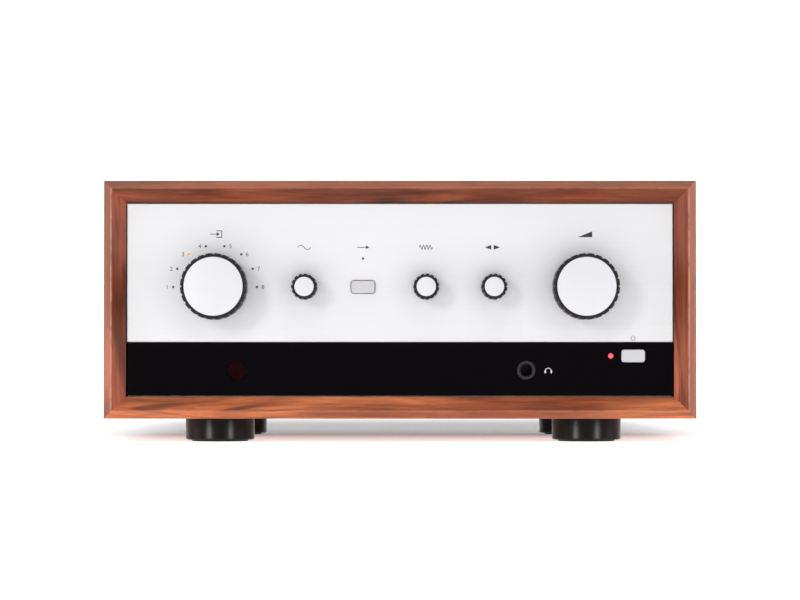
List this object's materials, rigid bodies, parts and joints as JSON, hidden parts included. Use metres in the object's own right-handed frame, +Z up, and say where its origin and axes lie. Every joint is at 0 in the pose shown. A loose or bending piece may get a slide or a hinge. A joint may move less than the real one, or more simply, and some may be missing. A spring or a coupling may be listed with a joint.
{
  "type": "integrated amplifier",
  "caption": "Hi-fi amplifier in a bevelled wooden case, with a pale faceplate, fluted knobs, push buttons, lamps, a headphone socket and rear sockets.",
  "frame": {"origin": "under the centre of the whole object, at the surface that it stands on", "axes": "+Z up, the front faces -Y, +X to the right as seen from the front"},
  "size_m": [0.326, 0.276, 0.144],
  "materials": {
    "walnut": "satin lacquer",
    "silver_plate": "fine satin",
    "black_gloss": "gloss",
    "knob_ring": "dark anodised",
    "silver_face": "fine satin",
    "button_grey": "satin",
    "foot_black": "gloss",
    "pad_rubber": "matt",
    "sheet_steel": "zinc plated",
    "rear_black": "fine texture",
    "screw_steel": "plain",
    "black_plastic": "satin",
    "lamp_clear": "clear",
    "lamp_amber": "lit",
    "lamp_red": "lit",
    "window_red": "dark translucent",
    "gold": "polished",
    "cap_red": "satin",
    "cap_black": "satin",
    "nickel": "nickel plated",
    "board_green": "solder mask",
    "control_metal": "plain",
    "can_black": "sleeved",
    "sink_black": "black anodised",
    "wound_iron": "taped winding",
    "wire_grey": "satin"
  },
  "bodies": {
    "amplifier": {"amplifier_board": "board_green", "bottom_board": "walnut", "capacitors": "can_black", "chassis_lid": "sheet_steel", "chassis_tray": "sheet_steel", "control_nuts": "nickel", "faceplate": "silver_plate", "fascia_strip": "black_gloss", "fasteners": "screw_steel", "feet": "foot_black", "foot_pads": "pad_rubber", "front_board": "board_green", "front_subpanel": "sheet_steel", "headphone_socket": "black_plastic", "heatsink": "sink_black", "input_board": "board_green", "left_board": "walnut", "lit_source_lamp": "lamp_amber", "mains_inlet": "black_plastic", "mains_switch": "black_plastic", "optical_sockets": "black_plastic", "phono_sockets": "gold", "potentiometers": "control_metal", "power_lamp": "lamp_red", "rear_panel": "rear_black", "remote_window": "window_red", "right_board": "walnut", "source_lamps": "lamp_clear", "terminal_posts": "gold", "top_board": "walnut", "transformer": "wound_iron", "transistors": "black_plastic", "usb_and_antenna_sockets": "nickel", "wiring": "wire_grey"},
    "input_control": {"input_knob": "knob_ring", "input_knob_face": "silver_face"},
    "volume_control": {"volume_knob": "knob_ring", "volume_knob_face": "silver_face"},
    "bass_control": {"bass_knob": "knob_ring", "bass_knob_face": "silver_face"},
    "treble_control": {"treble_knob": "knob_ring", "treble_knob_face": "silver_face"},
    "balance_control": {"balance_knob": "knob_ring", "balance_knob_face": "silver_face"},
    "direct_push": {"direct_button": "button_grey"},
    "power_push": {"power_button": "button_grey"},
    "rocker": {"mains_rocker": "black_plastic"},
    "drawer": {"fuse_drawer": "black_plastic"},
    "shutter_1": {"optical_shutter_1": "black_plastic"},
    "shutter_2": {"optical_shutter_2": "black_plastic"},
    "bush_right_plus": {"terminal_bush_right_plus": "gold"},
    "cap_right_plus": {"terminal_cap_right_plus": "cap_red"},
    "bush_right_minus": {"terminal_bush_right_minus": "gold"},
    "cap_right_minus": {"terminal_cap_right_minus": "cap_black"},
    "bush_left_plus": {"terminal_bush_left_plus": "gold"},
    "cap_left_plus": {"terminal_cap_left_plus": "cap_red"},
    "bush_left_minus": {"terminal_bush_left_minus": "gold"},
    "cap_left_minus": {"terminal_cap_left_minus": "cap_black"},
    "earth_washer": {"ground_washer": "nickel"},
    "earth_nut": {"ground_nut": "nickel"}
  },
  "joints": [
    {"name": "input_turn", "type": "hinge", "parent": "amplifier", "child": "input_control", "pos_m": [-0.102, -0.1182, 0.0855], "axis": [0, 1, 0], "continuous": true},
    {"name": "volume_turn", "type": "hinge", "parent": "amplifier", "child": "volume_control", "pos_m": [0.102, -0.1182, 0.0855], "axis": [0, 1, 0], "range_deg": [-150, 150]},
    {"name": "bass_turn", "type": "hinge", "parent": "amplifier", "child": "bass_control", "pos_m": [-0.05253, -0.1182, 0.0855], "axis": [0, 1, 0], "range_deg": [-150, 150]},
    {"name": "treble_turn", "type": "hinge", "parent": "amplifier", "child": "treble_control", "pos_m": [0.01438, -0.1182, 0.0855], "axis": [0, 1, 0], "range_deg": [-150, 150]},
    {"name": "balance_turn", "type": "hinge", "parent": "amplifier", "child": "balance_control", "pos_m": [0.05171, -0.1182, 0.0855], "axis": [0, 1, 0], "range_deg": [-150, 150]},
    {"name": "direct_press", "type": "slide", "parent": "amplifier", "child": "direct_push", "axis": [0, 1, 0], "range_m": [0, 0.0012], "stiffness_N_per_m": 400, "springref_m": -0.001},
    {"name": "power_press", "type": "slide", "parent": "amplifier", "child": "power_push", "axis": [0, 1, 0], "range_m": [0, 0.0012], "stiffness_N_per_m": 400, "springref_m": -0.001},
    {"name": "mains_rock", "type": "hinge", "parent": "amplifier", "child": "rocker", "pos_m": [-0.112, 0.117, 0.108], "axis": [-1, 0, 0], "range_deg": [0, 18]},
    {"name": "fuse_drawer_slide", "type": "slide", "parent": "amplifier", "child": "drawer", "axis": [0, 1, 0], "range_m": [0, 0.015]},
    {"name": "optical_shutter_1_swing", "type": "hinge", "parent": "amplifier", "child": "shutter_1", "pos_m": [0.102, 0.1178, 0.1175], "axis": [-1, 0, 0], "range_deg": [0, 80], "stiffness_Nm_per_rad": 0.0001, "springref_deg": -17.19},
    {"name": "optical_shutter_2_swing", "type": "hinge", "parent": "amplifier", "child": "shutter_2", "pos_m": [0.08, 0.1178, 0.1175], "axis": [-1, 0, 0], "range_deg": [0, 80], "stiffness_Nm_per_rad": 0.0001, "springref_deg": -17.19},
    {"name": "bush_right_plus_travel", "type": "slide", "parent": "amplifier", "child": "bush_right_plus", "axis": [0, 1, 0], "range_m": [0, 0.006]},
    {"name": "cap_right_plus_turn", "type": "hinge", "parent": "bush_right_plus", "child": "cap_right_plus", "pos_m": [0.016, 0.118, 0.062], "axis": [0, 1, 0], "range_deg": [0, 2161]},
    {"name": "bush_right_minus_travel", "type": "slide", "parent": "amplifier", "child": "bush_right_minus", "axis": [0, 1, 0], "range_m": [0, 0.006]},
    {"name": "cap_right_minus_turn", "type": "hinge", "parent": "bush_right_minus", "child": "cap_right_minus", "pos_m": [-0.00305, 0.118, 0.062], "axis": [0, 1, 0], "range_deg": [0, 2161]},
    {"name": "bush_left_plus_travel", "type": "slide", "parent": "amplifier", "child": "bush_left_plus", "axis": [0, 1, 0], "range_m": [0, 0.006]},
    {"name": "cap_left_plus_turn", "type": "hinge", "parent": "bush_left_plus", "child": "cap_left_plus", "pos_m": [-0.03, 0.118, 0.062], "axis": [0, 1, 0], "range_deg": [0, 2161]},
    {"name": "bush_left_minus_travel", "type": "slide", "parent": "amplifier", "child": "bush_left_minus", "axis": [0, 1, 0], "range_m": [0, 0.006]},
    {"name": "cap_left_minus_turn", "type": "hinge", "parent": "bush_left_minus", "child": "cap_left_minus", "pos_m": [-0.04905, 0.118, 0.062], "axis": [0, 1, 0], "range_deg": [0, 2161]},
    {"name": "earth_washer_travel", "type": "slide", "parent": "amplifier", "child": "earth_washer", "axis": [0, 1, 0], "range_m": [0, 0.0042]},
    {"name": "earth_nut_turn", "type": "hinge", "parent": "earth_washer", "child": "earth_nut", "pos_m": [0.124, 0.118, 0.036], "axis": [0, 1, 0], "range_deg": [0, 2161]}
  ],
  "couplings": [
    {"joint": "cap_right_plus_turn", "follows": "bush_right_plus_travel", "rad_per_m": 6283.2},
    {"joint": "cap_right_minus_turn", "follows": "bush_right_minus_travel", "rad_per_m": 6283.2},
    {"joint": "cap_left_plus_turn", "follows": "bush_left_plus_travel", "rad_per_m": 6283.2},
    {"joint": "cap_left_minus_turn", "follows": "bush_left_minus_travel", "rad_per_m": 6283.2},
    {"joint": "earth_nut_turn", "follows": "earth_washer_travel", "rad_per_m": 8976}
  ]
}
